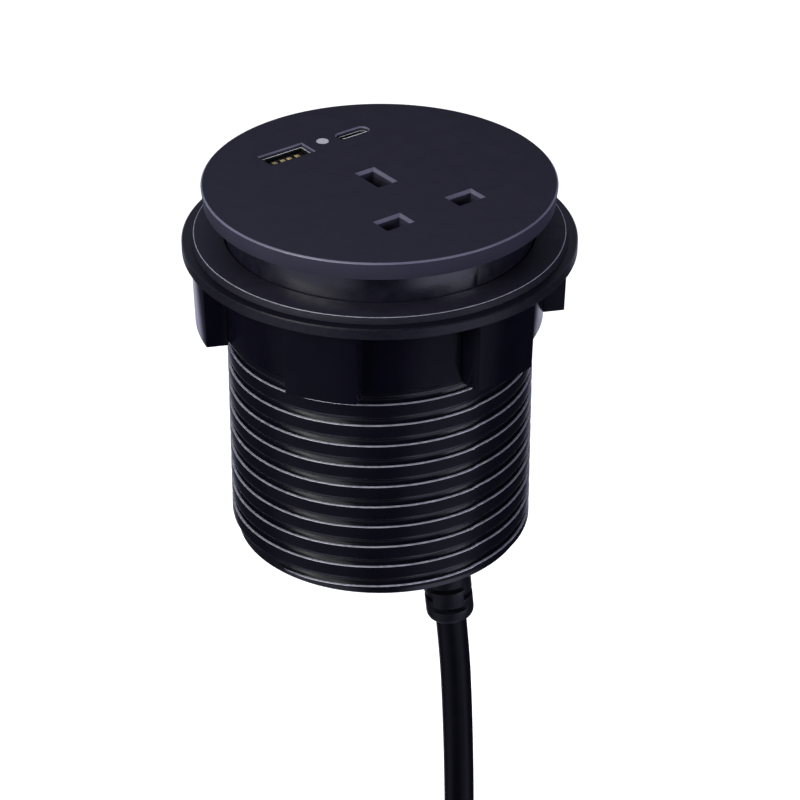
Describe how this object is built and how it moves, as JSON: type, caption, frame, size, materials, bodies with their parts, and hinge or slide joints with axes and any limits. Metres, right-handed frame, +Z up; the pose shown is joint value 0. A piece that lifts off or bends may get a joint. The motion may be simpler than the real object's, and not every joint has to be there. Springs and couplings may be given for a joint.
{
  "type": "in-desk power module",
  "caption": "Round in-desk power module: a shuttered three-pin socket and USB ports in a threaded barrel, clamped by a washer and a lugged lock nut, with a corded plug.",
  "frame": {"origin": "centre of the rim's underside, on the barrel's axis, where the module rests on the desk top", "axes": "+X from the neutral aperture to the live aperture as the diagram of the contacts has it, +Y towards the USB ports, +Z up out of the desk"},
  "size_m": [0.1675, 0.2141, 0.2447],
  "materials": {
    "cover_plastic": "matt dark blue-grey",
    "barrel_plastic": "glossy black",
    "nut_plastic": "glossy black",
    "shutter_plastic": "matt black",
    "dark_plastic": "matt black",
    "soft_plastic": "soft satin black",
    "cord_sheath": "glossy black sheath",
    "plug_plastic": "satin black",
    "tie_plastic": "matt black",
    "tongue_plastic": "cream",
    "lens": "pale grey, frosted",
    "steel": "bright zinc plate",
    "nickel": "nickel plate",
    "brass": "plain",
    "gold": "gold flash",
    "board": "green lacquer",
    "capacitor_sleeve": "dark blue sleeve",
    "fuse_ceramic": "ceramic with metal caps",
    "brown_insulation": "brown",
    "blue_insulation": "blue",
    "green_insulation": "green, banded yellow"
  },
  "bodies": {
    "module": {"faceplate": "cover_plastic", "threaded_barrel": "barrel_plastic", "base_cover": "barrel_plastic", "base_screws": "steel", "carrier_screws": "steel", "clamp_screws": "steel", "board_screws": "steel", "shutter_spring": "steel", "contact_carrier": "shutter_plastic", "live_contact": "brass", "neutral_contact": "brass", "earth_contact": "brass", "usb_a_shell": "nickel", "usb_a_tongue": "tongue_plastic", "usb_a_contacts": "gold", "usb_c_shell": "nickel", "usb_c_tongue": "dark_plastic", "led_lens": "lens", "usb_board": "board", "supply_board": "board", "transformer": "dark_plastic", "capacitors": "capacitor_sleeve", "board_link": "tongue_plastic", "strain_relief": "soft_plastic", "cord_clamp": "shutter_plastic", "cord_entry": "cord_sheath", "live_lead": "brown_insulation", "neutral_lead": "blue_insulation", "earth_lead": "green_insulation", "cord": "cord_sheath", "cord_coil": "cord_sheath", "coil_tie": "tie_plastic", "plug_relief": "soft_plastic", "plug_body": "plug_plastic", "plug_earth_pin": "brass", "plug_live_pin": "brass", "plug_neutral_pin": "brass", "plug_pin_sleeves": "plug_plastic"},
    "washer": {"clamp_washer": "nut_plastic"},
    "nut": {"lock_nut": "nut_plastic"},
    "shutter": {"socket_shutter": "shutter_plastic"},
    "fuse_tray": {"fuse_carrier": "plug_plastic", "plug_fuse": "fuse_ceramic"}
  },
  "joints": [
    {"name": "washer_slide", "type": "slide", "parent": "module", "child": "washer", "axis": [0, 0, 1], "range_m": [-0.06, 0.0085]},
    {"name": "nut_spin", "type": "hinge", "parent": "washer", "child": "nut", "pos_m": [0, 0, 0], "axis": [0, 0, 1], "range_deg": [-3610, 515]},
    {"name": "shutter_slide", "type": "slide", "parent": "module", "child": "shutter", "axis": [0, 1, 0], "range_m": [0, 0.0055], "stiffness_N_per_m": 100, "springref_m": -0.005, "deforming": ["shutter_spring"]},
    {"name": "fuse_tray_slide", "type": "slide", "parent": "module", "child": "fuse_tray", "axis": [0, 0, 1], "range_m": [0, 0.009]}
  ],
  "couplings": [
    {"joint": "nut_spin", "follows": "washer_slide", "rad_per_m": 1047.2}
  ]
}
